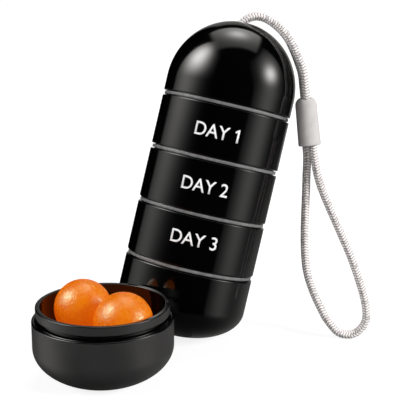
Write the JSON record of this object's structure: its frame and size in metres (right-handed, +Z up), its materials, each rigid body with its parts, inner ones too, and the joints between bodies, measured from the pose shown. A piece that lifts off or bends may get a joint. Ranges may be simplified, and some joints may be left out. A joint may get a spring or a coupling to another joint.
{
  "type": "pocket pill dispenser",
  "caption": "Capsule-shaped travel pill box: push-fit day cups stacked under a domed lid with a braided wrist lanyard and slider, beside an open round-bottomed cup of round pills.",
  "frame": {"origin": "on the standing surface, under the middle of the box of all rigid pieces (without the lanyard, its slider and its knot)", "axes": "+Z up, +X to the right and -Y towards the viewer of the pictured side, where the day names face"},
  "size_m": [0.0961, 0.0806, 0.0947],
  "materials": {
    "gloss_black": "polished black plastic with soft, broad reflections",
    "satin_black": "satin black plastic",
    "inner_black": "matte black moulding inside",
    "ring_grey": "smooth mid-grey seal",
    "cord_grey": "braided warm light grey cord with dark flecks",
    "slider_grey": "matte warm light grey",
    "pill_orange": "smooth orange coating with soft highlights"
  },
  "bodies": {
    "base": {"base_shell": "gloss_black", "base_liner": "inner_black"},
    "ring_4": {"seal_ring_4": "ring_grey"},
    "day_3": {"day_3_shell": "gloss_black", "day_3_liner": "inner_black"},
    "ring_3": {"seal_ring_3": "ring_grey"},
    "day_2": {"day_2_shell": "gloss_black", "day_2_liner": "inner_black"},
    "ring_2": {"seal_ring_2": "ring_grey"},
    "day_1": {"day_1_shell": "gloss_black", "day_1_liner": "inner_black"},
    "lid": {"lid_shell": "gloss_black", "lid_liner": "inner_black", "seal_ring_1": "ring_grey", "lanyard_cord": "cord_grey", "stopper_knot": "cord_grey"},
    "slider": {"cord_slider": "slider_grey"},
    "open_cup": {"open_cup_shell": "satin_black", "open_cup_liner": "satin_black"},
    "left_pill": {"pill_left": "pill_orange"},
    "right_pill": {"pill_right": "pill_orange"}
  },
  "joints": [
    {"name": "day_3_pull", "type": "slide", "parent": "base", "child": "ring_4", "axis": [0.2315, 0.1756, 0.9569], "range_m": [0, 0.025]},
    {"name": "day_3_twist", "type": "hinge", "parent": "ring_4", "child": "day_3", "pos_m": [0.00757, 0.01337, 0.0296], "axis": [0.2315, 0.1756, 0.9569], "continuous": true},
    {"name": "day_2_pull", "type": "slide", "parent": "ring_4", "child": "ring_3", "axis": [0.2315, 0.1756, 0.9569], "range_m": [0, 0.025]},
    {"name": "day_2_twist", "type": "hinge", "parent": "ring_3", "child": "day_2", "pos_m": [0.01125, 0.01616, 0.04482], "axis": [0.2315, 0.1756, 0.9569], "continuous": true},
    {"name": "day_1_pull", "type": "slide", "parent": "ring_3", "child": "ring_2", "axis": [0.2315, 0.1756, 0.9569], "range_m": [0, 0.025]},
    {"name": "day_1_twist", "type": "hinge", "parent": "ring_2", "child": "day_1", "pos_m": [0.01493, 0.01895, 0.06003], "axis": [0.2315, 0.1756, 0.9569], "continuous": true},
    {"name": "lid_pull", "type": "slide", "parent": "ring_2", "child": "lid", "axis": [0.2315, 0.1756, 0.9569], "range_m": [0, 0.025]},
    {"name": "slider_slide", "type": "slide", "parent": "lid", "child": "slider", "axis": [-0.1, 0.1313, 0.9863], "range_m": [-0.0015, 0.0015]},
    {"name": "open_cup_lift", "type": "slide", "parent": "base", "child": "open_cup", "axis": [0, 0, 1], "range_m": [0, 0.04]},
    {"name": "pill_left_lift", "type": "slide", "parent": "open_cup", "child": "left_pill", "axis": [0, 0, 1], "range_m": [0, 0.03]},
    {"name": "pill_right_lift", "type": "slide", "parent": "open_cup", "child": "right_pill", "axis": [0, 0, 1], "range_m": [0, 0.03]}
  ]
}
